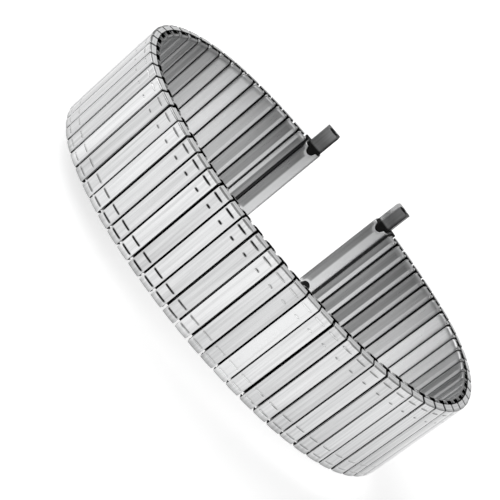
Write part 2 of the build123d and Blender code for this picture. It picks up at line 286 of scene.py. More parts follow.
@dataclass(frozen=True)
class OuterShell:
    """Polished cap of an outer link: slightly domed, creased twice at each end and folded down there.

    spread makes it longer along the band than the solid, lower_reach draws out its lower end, and upper_lean draws
    in the top of its upper end. A span runs between two distances from the end, and rings, shares and angles are
    where points lie. The shades are painted shade: in the creases, along the folded ends, on the walls in the gaps
    and beside the folds, and on the end faces, with the fine dark lines of the folded sheet along their edges. A
    crease's dark may be past 1, which widens its line.
    """

    band: BandSizes
    sheet: float = 0.25
    fold: float = 0.20
    edge_radius: float = 0.07
    end_radius: float = 0.15
    plan_radius: float = 0.12
    dome: float = 0.07
    spread: float = 0.03
    lower_reach: float = 0.28
    reach_span: tuple[float, float] = (1.6, 4.2)
    upper_lean: float = 0.16
    lean_start: float = 1.0
    hem: float = 0.14
    least_wall: float = 0.02
    step: float = 0.02
    step_reach: float = 1.2
    crease_depth: float = 0.08
    crease_width: float = 0.115
    crease_rings: tuple[float, ...] = (-2.4, -1.3, -0.7, 0.0, 0.7, 1.3, 2.4)
    top_shares: tuple[float, ...] = (0.08, 0.24, 0.40, 0.56, 0.72, 0.88, 1.0)
    edge_angles: tuple[float, ...] = (25, 50, 72, 90)
    wall_shares: tuple[float, ...] = (0.06, 0.12, 0.45, 0.52, 0.59, 1.0)
    upper_dark: float = 2.2
    lower_dark: float = 2.2
    upper_line: float = 0.30
    upper_span: tuple[float, float] = (0.12, 0.02)
    lower_line: float = 0.50
    lower_span: tuple[float, float] = (0.45, 0.05)
    wall_dark: float = 0.70
    wall_bright: float = 0.10
    end_face_shade: float = 0.03
    end_lines: tuple[float, ...] = (0.30, 0.0, 0.0, 0.33, 0.0, 0.09, 0.09)
    end_shade_shares: tuple[float, ...] = (0.0, 0.0, 0.5, 1.0)
    end_dark: float = 0.90
    end_span: tuple[float, float] = (0.90, 0.50)
    end_fade: float = 0.05
    upper: tuple[Crease, Crease] = (Crease(1.05, -0.86, 0.90, 0.75), Crease(2.80, -0.30, 0.34, 0.20))
    lower: tuple[Crease, Crease] = (Crease(1.00, -0.87, 0.92, 0.30), Crease(2.73, -0.86, 0.88, 0.30))

    def stations(self) -> tuple[np.ndarray, np.ndarray]:
        """Places of the rings along Z.

        Returns:
            The places, and whether each lies in a folded end, where the cap reaches its hem.
        """
        wide = self.band.half_width
        near = np.array(self.crease_rings) * self.crease_width
        creases = [wide - crease.place + near for crease in self.upper + self.lower]
        places = np.sort(np.concatenate([self.reach_span, *creases, wide - self.end_radius * ROUND_STEPS]))
        inner_face = wide - self.fold
        at_fold = np.searchsorted(places, inner_face)
        places = np.insert(places, at_fold, [inner_face, inner_face])
        folded = np.arange(len(places)) > at_fold
        return both_ways(places), np.concatenate([folded[::-1], folded])

    @staticmethod
    def ring(top: np.ndarray, flank: np.ndarray) -> np.ndarray:
        """Columns of a whole ring: half of the top, down one flank, up the other and the rest of the top."""
        middle = top.shape[1] // 2
        return np.column_stack([top[:, :middle], mirrored(flank), top[:, middle:]])

    def surface(self) -> Surface:
        """The cap as rings across the link, carried along Z.

        A ring's top is the link's height less the dome, which grows with the square of the distance from the
        middle, less the creases. A quarter circle rounds its long edges. The height falls by a small step at
        each crease and along a quarter circle at the fold, and the length shrinks along one at the plan corners.
        Then the lower end is drawn out, and the upper end leans in by a share of its height over the hem.

        Returns:
            The closed cap, with the painted shade of its creases, folded ends, walls and end faces as its shade.
        """
        rise, wide = self.band.outer_rise, self.band.half_width
        half = self.band.half_link + self.spread
        places, folded = self.stations()
        z, folded = places[:, None], folded[:, None]
        away = np.abs(z)
        length = half - quarter(self.plan_radius, away - (wide - self.plan_radius))
        top_x = (length - self.edge_radius) * np.array(self.top_shares)
        share = mirrored(top_x, -1) / half
        creases = [((sign * z - (wide - crease.place)) / self.crease_width, crease)
                   for sign, pair in ((1, self.upper), (-1, self.lower)) for crease in pair]
        drop = sum(self.step * smooth(-self.step_reach, self.step_reach, place) for place, _ in creases)
        groove = sum(bell(place, 1.0) * crease.strength(share) for place, crease in creases)
        level = rise - drop - quarter(self.end_radius, away - (wide - self.end_radius))
        top = level - self.dome * share**2 - self.crease_depth * groove
        edge = level - self.dome * (1 - self.edge_radius / half) ** 2
        arc = np.radians(self.edge_angles)
        arc_x = length - self.edge_radius * (1 - np.sin(arc))
        arc_h = edge - self.edge_radius * (1 - np.cos(arc))
        floor = np.minimum(np.where(folded, self.hem, rise - self.sheet), arc_h[:, -1:] - self.least_wall)
        walls = arc_h[:, -1:] + (floor - arc_h[:, -1:]) * np.array(self.wall_shares)
        side_x = np.column_stack([length] * len(self.wall_shares) + [UNDER_SHARE * length])
        side_h = np.column_stack([walls, floor])
        x = mirrored(np.column_stack([top_x, arc_x, side_x]), -1)
        h = self.ring(top, np.column_stack([arc_h, side_h]))
        end_face = away > wide - TINY
        # Painted shade: the walls darken with depth in the gaps and beside the folds, and the end faces are painted
        # greyer.
        sunk = np.clip((edge - self.edge_radius - side_h - self.wall_bright) / (rise - self.sheet), 0, 1)
        beside = self.end_dark * smooth(0.0, self.end_fade, wide - away) * near_end(wide, self.end_span, away)
        side = np.where(end_face, self.end_face_shade + np.array(self.end_lines), np.maximum(self.wall_dark * sunk, beside))
        blank = np.where(end_face, self.end_face_shade, 0) * np.array(self.end_shade_shares)
        # Painted shade in the creases and along the folded ends.
        pressed = np.clip(np.where(z > 0, self.upper_dark, self.lower_dark) * groove, 0, 1)
        line = np.where(z > 0, self.upper_line * near_end(wide, self.upper_span, away),
                        self.lower_line * near_end(wide, self.lower_span, away))
        pressed = np.maximum(pressed, line)
        wall = np.column_stack([np.zeros_like(top_x), np.zeros_like(arc_x), np.ones_like(side_x)])
        reached = z - self.lower_reach * smooth(*self.reach_span, -z)
        risen = np.clip((h - self.hem) / (rise - self.hem), 0, 1)
        leaned = reached - self.upper_lean * risen * near_end(wide, (self.lean_start, self.fold), z)
        grid = np.stack([x, -h, leaned], axis=-1)
        return skin(grid, self.ring(pressed, np.column_stack([blank, side])), mirrored(wall))


@dataclass(frozen=True)
class FoldedTube:
    """Flat tube folded from sheet, with a fine seam in the wall between the layers.

    far is the wall away from the other layer, and near the wall beside it. The near wall stops short of both
    ends for the clips, and a lip may close the far part of each end. Both ends and the edge at x_low have a rim
    with a painted highlight, and the edge at x_high has far_rim of one. end_dull is painted shade on the ends, and
    bright_span is where the side walls' painted shade gives way there. end_rim_span is where an end's rim starts and
    is full, as shares of end_along.
    Rings, angles and shares are where points lie.
    """

    x_low: float
    x_high: float
    near: float
    far: float
    half_width: float
    sheet: float
    edge_across: float = 0.05
    edge_down: float = 0.05
    end_along: float = 0.0
    end_down: float = 0.0
    plan_radius: float = 0.0
    notch: float = 0.90
    seam: float = 0.02
    lip: float = 0.0
    gap_depth: float = 0.35
    end_margin: float = 0.06
    rim_width: float = 0.66
    rim_fade: float = 0.12
    far_rim: float = 0.12
    end_dull: float = 0.22
    end_rim_span: tuple[float, float] = (1.5, 0.7)
    bright_span: tuple[float, float] = (0.12, 0.02)
    least_round: float = 0.02
    middle_ring: float = 0.3
    notch_ring: float = 1.6
    round_angles: tuple[float, ...] = (0, 25, 45, 62, 76, 90)
    corner_angles: tuple[float, ...] = (0, 16, 33, 50, 67, 84)
    top_shares: tuple[float, ...] = (0.99, 0.72, 0.4, 0.1)

    def stations(self) -> tuple[np.ndarray, np.ndarray, np.ndarray]:
        """Places of the rings along Z, from the middle to one end.

        Returns:
            The places, whether the near wall is open there, and whether the lip closes the far part there.
        """
        end, lip_face = self.half_width, self.half_width - self.sheet
        turn = np.sin(np.radians(self.round_angles))
        rounding = end - max(self.end_along, self.plan_radius, self.least_round) * (1 - turn)
        doubled = [end - self.notch] * 2 + ([lip_face] * 2 if self.lip else [])
        single = [end * self.middle_ring, end - self.notch_ring * self.notch]
        places = np.sort(np.concatenate([single, doubled, rounding]))
        rank = np.arange(len(places))
        opened = rank > np.searchsorted(places, end - self.notch)
        lipped = (rank > np.searchsorted(places, lip_face)) & (self.lip > 0)
        return places, opened, lipped

    def surface(self) -> Surface:
        """The folded section, carried along Z.

        The section is one loop: out from the seam along the near wall, round the far edges on quarter ellipses,
        and back inside at the sheet's thickness. The near wall's tips draw back at the notches, the far wall's
        inside comes forward at the lips, and the far wall falls along a quarter ellipse at the ends while the
        length shrinks along a quarter circle.

        Returns:
            The closed tube, with painted shade inside, down its side walls and on its ends, and painted highlights on
            its rims.
        """
        side = math.copysign(1.0, self.far - self.near)
        middle, half = (self.x_low + self.x_high) / 2, (self.x_high - self.x_low) / 2
        end, height = self.half_width, abs(self.far - self.near)
        places, opened, lipped = self.stations()
        z = both_ways(places)[:, None]
        opened, lipped = (np.concatenate([flag[::-1], flag])[:, None] for flag in (opened, lipped))
        away = np.abs(z)
        ones = np.ones_like(z)
        length = half * ones
        if self.plan_radius:
            length = half - quarter(self.plan_radius, away - (end - self.plan_radius))
        fall = 0 * ones
        if self.end_along:
            fall = quarter(self.end_along, away - (end - self.end_along)) * self.end_down / self.end_along
        inner_half = np.minimum(half - self.sheet, length - self.end_margin)
        tip = np.where(opened, inner_half, self.seam)
        arc = np.radians(self.corner_angles)
        level = height - fall
        corner_x = length - self.edge_across * (1 - np.cos(arc))
        corner_h = level - self.edge_down * (1 - np.sin(arc))
        top_x = (half - self.edge_across) * np.array(self.top_shares) * ones
        outer_x = np.column_stack([tip, length, corner_x, top_x])
        outer_h = np.column_stack([0 * ones, 0 * ones, corner_h] + [level] * len(self.top_shares))
        inner_top = np.where(lipped, self.lip, np.minimum(height - self.sheet, level - self.sheet / 2))
        low = np.minimum(self.sheet, inner_top)
        inner_x = np.column_stack([tip] + [inner_half] * (1 + len(arc)) + [top_x])
        inner_h = np.column_stack([low, low] + [inner_top] * (len(arc) + len(self.top_shares)))
        x = np.column_stack([mirrored(outer_x, -1), mirrored(-inner_x, -1)])
        h = np.column_stack([mirrored(outer_h), mirrored(inner_h)])
        grid = np.stack([middle + x, self.near + side * h, np.broadcast_to(z, x.shape)], axis=-1)
        # Painted shade down the side walls, inside and on the ends, and painted highlights on the rims and the ends.
        sunk = np.clip((level - self.edge_down - outer_h) / self.gap_depth, 0, 1)
        sunk = sunk * (1 - near_end(end, self.bright_span, away))
        inside = mirrored(np.ones_like(inner_h))
        rim = smooth(half - self.rim_width, half - self.rim_width + self.rim_fade, outer_x)
        end_rim = near_end(end, np.array(self.end_rim_span) * self.end_along, away)
        sunk = np.maximum(sunk, self.end_dull * end_rim)
        bright = np.maximum(np.column_stack([rim * self.far_rim, rim[:, ::-1]]), end_rim)
        return skin(grid, np.column_stack([mirrored(sunk), inside]), np.column_stack([bright, inside]))


def strip(near: np.ndarray, far: np.ndarray, width: float, upright: bool = False) -> Surface:
    """A bent strip between two lines of a plane, carried square to that plane.

    Args:
        near: points of one line, as (Z, Y), or as (X, Y) for an upright strip.
        far: points of the other line, each across from one of the first.
        width: size along X, or along Z for an upright strip.
        upright: whether the strip is carried along Z.

    Returns:
        The closed strip, with one ring of four points at each pair.
    """
    edge = width / 2
    carried = np.broadcast_to(np.array([-edge, edge, edge, -edge]), (len(near), 4))
    first = np.stack([near[:, 0], near[:, 0], far[:, 0], far[:, 0]], axis=1)
    second = np.stack([near[:, 1], near[:, 1], far[:, 1], far[:, 1]], axis=1)
    axes = (first, second, carried) if upright else (carried, second, first)
    return skin(np.stack(axes, axis=-1))


@dataclass(frozen=True)
class JointMetal:
    """The clips at one joint and the leaf spring that presses on their inner legs."""

    band: BandSizes
    clip_sheet: float = 0.15
    clip_width: float = 0.30
    clip_leg: float = 3.50
    side_clearance: float = 0.03
    clip_end: float = 7.27
    outer_leg: float = 0.40
    inner_leg: float = 0.36
    spring_sheet: float = 0.06
    spring_width: float = 1.50
    spring_length: float = 13.6
    spring_flat: float = 2.0
    spring_ramp: float = 3.0
    spring_bow: float = 0.08
    spring_clearance: float = 0.14

    @property
    def clip_offset(self) -> float:
        """How far a clip stands from its joint, against the wall of its sleeve."""
        return (2 * (self.band.half_link - self.band.sheet) - self.clip_width) / 2 - self.side_clearance

    def clip(self, level: Level) -> Surface:
        """A flat staple: one leg in the outer layer, one in the inner layer, joined at the band's edge.

        Args:
            level: the edge of the band that it is at.

        Returns:
            The closed strip, from a near line along the inside of the staple and a far line along its outside.
        """
        tip, end, thick = self.clip_end - self.clip_leg, self.clip_end, self.clip_sheet
        outer, inner = -self.outer_leg, self.inner_leg
        near = np.array([(tip, outer), (end - thick, outer), (end - thick, inner), (tip, inner)])
        far = np.array([(tip, outer - thick), (end, outer - thick), (end, inner + thick), (tip, inner + thick)])
        flip = level.value, 1
        return strip(near * flip, far * flip, self.clip_width)

    def leaf_spring(self) -> Surface:
        """A bowed strip over the inner legs: level ends, two ramps and a level middle at the far wall.

        Returns:
            The closed strip, whose height rises smoothly along each ramp.
        """
        ends = self.inner_leg + self.clip_sheet + self.spring_clearance
        flat, ramp = self.spring_flat / 2, self.spring_flat / 2 + self.spring_ramp
        z = both_ways(np.array([flat, (flat + ramp) / 2, ramp, self.spring_length / 2]))
        y = ends + self.spring_bow * (1 - smooth(flat, ramp, np.abs(z)))
        return strip(np.column_stack([z, y]), np.column_stack([z, y + self.spring_sheet]), self.spring_width)


def superellipse(centre: tuple[float, float], across: float, down: float, power: float, count: int) -> np.ndarray:
    """A rounded rectangle about a centre.

    At each angle the radius is the sum of |cos / across| and |sin / down|, both to the power, to minus one over
    the power.

    Args:
        centre: middle of the outline.
        across: half of its size along X.
        down: half of its size along Y.
        power: how square it is, where 2 is an ellipse.
        count: number of points.

    Returns:
        The outline as (count, 2), which starts and ends on both sides of +X.
    """
    angle = (np.arange(count) + 0.5) / count * 2 * np.pi
    angle = angle - CORNER_PULL * np.sin(4 * angle)
    radius = (np.abs(np.cos(angle) / across) ** power + np.abs(np.sin(angle) / down) ** power) ** (-1 / power)
    return np.array(centre) + radius[:, None] * np.column_stack([np.cos(angle), np.sin(angle)])


@dataclass(frozen=True)
class EndPieces:
    """Channel, tabs and coils at one end of the band, drawn beyond the right end of the links.

    lit is the sign of the drawn X on the side where a tab has its painted glint, which starts at glint as a share of
    half its length. A tab's painted dark edge and a channel's painted bright half are on the other side. A fade runs
    from where a cut, a painted highlight or a painted shade starts to where it is full, as shares of half a piece's
    size, and shares, rows and angles are where points lie. The shoulder's top, core and shade are in thicknesses of
    its sheet.
    """

    band: BandSizes
    start: float = 0.85
    length: float = 2.95
    height: float = 2.20
    wall: float = 0.20
    inset: float = 0.40
    squareness: float = 4.2
    mouth_radius: float = 0.90
    mouth_fade: tuple[float, float] = (0.35, 0.75)
    tube_shares: tuple[float, ...] = (0.0, 0.25, 0.5, 0.7, 0.85, 0.93, 0.97)
    rim_angles: tuple[float, ...] = (18, 42, 66, 90, 120, 150)
    half_fade: tuple[float, float] = (-0.12, 0.10)
    end_fade: tuple[float, float] = (0.90, 0.97)
    edge_dark: float = 0.60
    edge_fade: tuple[float, float] = (0.78, 0.86)
    crimp: float = 0.40
    crimp_overlap: float = 0.9
    cover_short: float = 0.55
    cover_radius: float = 0.12
    cover_overlap: float = 0.03
    cover_middle: float = 2.5
    cover_angles: tuple[float, ...] = (0, 22, 45, 67, 90)
    cover_rows: tuple[float, float] = (0.6, 0.2)
    shoulder_reach: float = 0.12
    shoulder_top: float = 1.1
    shoulder_core: float = 0.02
    shoulder_shade: float = 3.0
    shoulder_dark: float = 0.9
    shoulder_angles: tuple[float, ...] = (0, 30, 60, 90)
    tab_clearance: float = 0.05
    tab_length: float = 6.00
    tab_squareness: float = 12.0
    tab_edge: float = 0.05
    tab_shoulder: float = 0.3
    tab_shadow: tuple[float, float] = (-0.9, 0.10)
    tab_clear: float = 0.40
    tab_dark: float = 0.95
    glint: float = 0.68
    glint_fade: float = 0.08
    side_dark: float = 0.9
    side_fade: tuple[float, float] = (0.72, 0.86)
    bore_radius: float = 0.70
    bore_flare: float = 0.05
    bore_edge: float = 0.06
    bore_depth: float = 2.0
    wire: float = 0.15
    turns: float = 13.0
    turn_steps: int = 18
    wire_steps: int = 8
    around: int = 56
    lit: int = 1

    @property
    def bar(self) -> tuple[float, float]:
        """Middle of the channel's section, where the spring bar goes."""
        return self.start + self.length / 2, self.height / 2 - self.band.outer_rise

    def outline(self, shrink: float, power: float) -> np.ndarray:
        """The channel's section, smaller by shrink on every side."""
        return superellipse(self.bar, self.length / 2 - shrink, self.height / 2 - shrink, power, self.around)

    def tube(self) -> Surface:
        """The rolled channel: its outline carried along Z outside, back along Z inside, with round rims.

        At the wrist side each end is cut back along a circle: a point's end lies at the half width less the root
        of the mouth's radius squared minus the squared distance from the middle, faded out towards the outer side.

        Returns:
            The closed channel, with painted shade inside and along its outermost edge, and painted light on one half
            and on its rims.
        """
        outer, inner = self.outline(0.0, self.squareness), self.outline(self.wall, self.squareness)
        centre_x, centre_y = self.bar
        half = self.band.half_width - self.inset
        offset = np.clip(np.abs(outer[:, 0] - centre_x), 0, self.mouth_radius)
        wristward = smooth(*self.mouth_fade, (outer[:, 1] - centre_y) / (self.height / 2))
        end = half - np.sqrt(self.mouth_radius**2 - offset**2) * wristward
        flat = end - self.wall / 2
        share = np.array(self.tube_shares)
        share = np.concatenate([-share[:0:-1], share])
        rim = [(outer + (inner - outer) * (1 - math.cos(turn)) / 2, flat + self.wall / 2 * math.sin(turn))
               for turn in np.radians(self.rim_angles)]
        rows = [(outer, v * flat) for v in share] + rim
        first = len(rows)
        rows += [(inner, v * flat) for v in share[::-1]] + [(section, -place) for section, place in rim[::-1]]
        grid = rings(rows)
        # Painted shade inside and along the outermost edge, and painted light on one half and on the rims.
        dark = np.zeros((len(rows), 1))
        dark[first:len(rows) - len(rim)] = 1
        across = (outer[:, 0] - centre_x) / (self.length / 2)
        bright = np.broadcast_to(smooth(*self.half_fade, -self.lit * across), grid.shape[:2])
        bright = np.maximum(bright, smooth(*self.end_fade, np.abs(grid[:, :, 2]) / end))
        edge = self.edge_dark * smooth(*self.edge_fade, across) * (1 - dark)
        return skin(grid, np.maximum(dark, edge), bright, looped=True)

    def crimp_ring(self) -> Surface:
        """The crimp at the middle of the channel: its inner outline and the bar's bore, joined by flat faces.

        Returns:
            The closed ring.
        """
        outer = self.outline(self.wall * self.crimp_overlap, self.squareness)
        bore, edge = self.bore(0.0), self.crimp / 2
        return skin(rings([(outer, -edge), (outer, edge), (bore, edge), (bore, -edge)]), looped=True)

    def bore(self, grown: float) -> np.ndarray:
        """The circle of the bar's bore, larger by grown."""
        return superellipse(self.bar, self.bore_radius + grown, self.bore_radius + grown, 2.0, self.around)

    def cover(self) -> Surface:
        """The outer plate over the channel and the end link, as wide as the shells.

        Quarter circles round its long edges and its ends, where its length shrinks along one too.

        Returns:
            The closed plate.
        """
        x_low, x_high = self.band.link_gap / 2, self.start + self.length - self.cover_short
        rise, wide, radius = self.band.outer_rise, self.band.half_width, self.cover_radius
        z = both_ways(np.concatenate([[self.cover_middle], wide - radius * ROUND_STEPS]))[:, None]
        fall = quarter(radius, np.abs(z) - (wide - radius))
        arc = np.radians(self.cover_angles)
        half, middle = (x_high - x_low) / 2, (x_high + x_low) / 2
        length = half - fall
        top_x = (half - radius) * np.array(self.cover_rows) * np.ones_like(z)
        base = (rise - self.wall - self.cover_overlap) * np.ones_like(z)
        x = np.column_stack([UNDER_SHARE * length, length, length - radius * (1 - np.cos(arc)), top_x])
        h = np.column_stack([base, base, rise - fall - radius * (1 - np.sin(arc)), rise - fall, rise - fall])
        x, h = middle + mirrored(x, -1), mirrored(h)
        return skin(np.stack([x, -h, np.broadcast_to(z, x.shape)], axis=-1))

    def shoulder(self) -> Surface:
        """The folded strip that is seated on the end link, from the cover's edge round to the tube.

        Returns:
            The closed strip, bent along a quarter circle, with painted shade below the cover.
        """
        edge, sheet, low = self.band.link_gap / 2, self.wall, self.band.half_gap
        turn = np.radians(self.shoulder_angles)
        arc = np.column_stack([np.cos(turn + np.pi), np.sin(turn)]) * sheet
        centre = np.array([edge + sheet, low - sheet])
        top = sheet * self.shoulder_top - self.band.outer_rise
        end = self.start + self.shoulder_reach
        near = np.concatenate([[[edge, top]], centre + arc, [[end, low]]])
        far = np.concatenate([[[edge + sheet, top]], centre + arc * self.shoulder_core, [[end, low - sheet]]])
        folded = strip(near, far, 2 * (self.band.half_width - self.inset), upright=True)
        # Painted shade below the cover.
        deep = folded.points[:, 1] > -self.shoulder_shade * sheet
        return replace(folded, shade=np.where(deep, self.shoulder_dark, 0.0))

    def tab(self, level: Level) -> Surface:
        """A telescoping tab: its outline carried along Z outside and the bore's circle back inside.

        Args:
            level: the edge of the band that it stands out of.

        Returns:
            The closed tab, with painted shade inside, where it leaves the channel and along its left wall, and a
            painted glint.
        """
        margin, edge = self.wall + self.tab_clearance, self.tab_edge
        high, wide = self.band.tab_tip, self.band.half_width
        low = high - self.tab_length
        shares = 0.0, self.tab_shoulder, 1.0
        body, shoulder, tip = (self.outline(margin + edge * share, self.tab_squareness) for share in shares)
        bore, flare = self.bore(0.0), self.bore(self.bore_flare)
        hidden = [(body, low)] + [(body, wide + step) for step in self.tab_shadow]
        shown = [(body, wide + self.tab_clear), (body, high - edge), (shoulder, high - edge * self.tab_shoulder),
                 (tip, high), (flare, high), (bore, high - self.bore_edge)]
        inside = [(bore, low + self.bore_depth), (bore, low)]
        grid = rings(hidden + shown + inside) * (1, 1, level.value)
        # Painted shade where the tab leaves the channel, inside the bore and along one wall, and a painted glint on the
        # lit side.
        dark = np.repeat([self.tab_dark, 0.0, 1.0], [len(hidden), len(shown), len(inside)])[:, None]
        across = self.lit * (body[:, 0] - self.bar[0]) / (self.length / 2 - margin)
        bright = np.broadcast_to(smooth(self.glint, self.glint + self.glint_fade, across), grid.shape[:2])
        return skin(grid, np.maximum(dark, self.side_dark * smooth(*self.side_fade, -across)), bright, looped=True)

    def coil(self, level: Level) -> Surface:
        """The coil behind a tab: a small circle carried along a helix.

        The helix is at the bore's radius plus half the wire, and its height grows evenly with its angle. The
        circle stands in the plane of the radius and the bar's axis.

        Args:
            level: the edge of the band that its tab stands out of.

        Returns:
            The closed wire.
        """
        radius, wire = self.bore_radius + self.wire / 2, self.wire / 2
        low, high = self.crimp / 2 + wire, self.band.tab_tip - self.tab_length - wire
        angle = np.linspace(0, 2 * np.pi * self.turns, int(self.turns * self.turn_steps) + 1)[:, None]
        around = (np.arange(self.wire_steps) + 0.5) / self.wire_steps * 2 * np.pi
        height = low + (high - low) * angle / angle[-1]
        reach = radius + wire * np.cos(around)
        grid = np.stack([self.bar[0] + reach * np.cos(angle), self.bar[1] + reach * np.sin(angle),
                         height + wire * np.sin(around)], axis=-1)
        return skin(grid * (1, 1, level.value))


@dataclass(frozen=True)
class Segment:
    """A stretch of the band that moves as one body."""

    name: str
    first: int
    count: int

    @property
    def links(self) -> range:
        """Its outer links."""
        return range(self.first, self.first + self.count)

    @property
    def joints(self) -> range:
        """The joints between its own outer links."""
        return range(self.first + 1, self.first + self.count)


@dataclass
class Chain:
    """Where every link of the band lies, worked out from the pitch and the bends."""

    band: BandSizes
    headings: np.ndarray = field(init=False)
    joints: np.ndarray = field(init=False)
    segments: list[Segment] = field(init=False)

    def __post_init__(self) -> None:
        """Headings are running sums of the bends, and joints are running sums of pitch steps along the headings."""
        b = self.band
        counts = [b.arm_links] * len(b.left_bends) + [b.front_links] + [b.arm_links] * len(b.right_bends)
        names = [f"left_{k}" for k in range(len(b.left_bends), 0, -1)] + ["front"]
        names += [f"right_{k}" for k in range(1, len(b.right_bends) + 1)]
        bends = np.repeat(np.array(b.left_bends[::-1] + (b.front_bend,) + b.right_bends), counts)
        headings = np.concatenate([[0.0], np.cumsum((bends[1:] + bends[:-1]) / 2)])
        middle = len(b.left_bends) * b.arm_links + b.front_links // 2
        self.headings = headings - headings[middle]
        turn = np.radians(self.headings)
        steps = b.pitch * np.column_stack([np.cos(turn), np.sin(turn)])
        self.joints = np.concatenate([[[0.0, 0.0]], np.cumsum(steps, axis=0)])
        starts = np.concatenate([[0], np.cumsum(counts)[:-1]])
        self.segments = [Segment(n, int(s), c) for n, s, c in zip(names, starts, counts)]

    def settle(self, joints: list[dict]) -> None:
        """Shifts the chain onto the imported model's hinges by their mean distance, and reports the most that is left.

        Args:
            joints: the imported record's joints.
        """
        packed = {j["name"]: np.array(j["pos_m"][:2]) / MM for j in joints if j["type"] == "hinge"}
        mine = {name: self.joints[k] for name, k in self.seams().items()}
        shared = [name for name in mine if name in packed]
        offset = np.mean([packed[n] - mine[n] for n in shared], axis=0)
        self.joints = self.joints + offset
        worst = max(float(np.abs(packed[n] - mine[n] - offset).max()) for n in shared)
        LOG.info("%d hinges, at most %.4f mm from the packed ones", len(shared), worst)

    def seams(self) -> dict[str, int]:
        """The hinges between the segments.

        Returns:
            The joint number of each hinge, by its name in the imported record, where the first one of each side has
            no number.
        """
        numbers = {}
        for before, after in zip(self.segments, self.segments[1:]):
            rightward = after.name.startswith("right")
            owner = after.name if rightward else before.name
            numbers[f"{owner}_flex".replace("_1_", "_")] = after.first
        return numbers

    def inner_heading(self, joint: int) -> float:
        """Heading of an inner link, halfway between those of the outer links that it joins."""
        last = len(self.headings) - 1
        return float(self.headings[max(joint - 1, 0)] + self.headings[min(joint, last)]) / 2

    def origin(self, point: np.ndarray) -> np.ndarray:
        """A point of the chain at the middle of the band's width."""
        return np.array([point[0], point[1], self.band.tab_tip])

    def outer_place(self, link: int) -> tuple[np.ndarray, float]:
        """Origin and heading of an outer link."""
        return self.origin((self.joints[link] + self.joints[link + 1]) / 2), float(self.headings[link])

    def inner_place(self, joint: int) -> tuple[np.ndarray, float]:
        """Origin and heading of an inner link."""
        return self.origin(self.joints[joint]), self.inner_heading(joint)

    def clip_place(self, joint: int, side: int, offset: float) -> tuple[np.ndarray, float]:
        """Where a clip beside a joint lies.

        Args:
            joint: its number.
            side: 1 for the clip towards the next outer link and -1 for the one before.
            offset: how far it stands from the joint, in millimetres.

        Returns:
            Its origin, and its heading, which is halfway between those of its outer and its inner link.
        """
        link = joint if side > 0 else joint - 1
        heading = (self.inner_heading(joint) + float(self.headings[link])) / 2
        return self.origin(self.joints[joint] + turned(np.array([side * offset, 0.0]), heading)), heading


@dataclass(frozen=True)
class Graph:
    """The nodes of a material or a world."""

    tree: bpy.types.NodeTree

    def feed(self, node: bpy.types.Node, inputs: dict[str | int, object]) -> None:
        """Sets inputs of a node, each to a value or to another node's output.

        Args:
            node: the node.
            inputs: what each input gets, by its name or number.
        """
        for name, given in inputs.items():
            if isinstance(given, bpy.types.NodeSocket):
                self.tree.links.new(given, node.inputs[name])
            else:
                node.inputs[name].default_value = given

    def add(self, kind: str, inputs: dict[str | int, object] | None = None, **settings: str) -> bpy.types.Node:
        """Adds a node.

        Args:
            kind: the name of its type after ShaderNode.
            inputs: what each input gets, by its name or number.
            settings: the node's own settings, which come first.

        Returns:
            The new node.
        """
        made = self.tree.nodes.new(f"ShaderNode{kind}")
        for name, value in settings.items():
            setattr(made, name, value)
        self.feed(made, inputs or {})
        return made


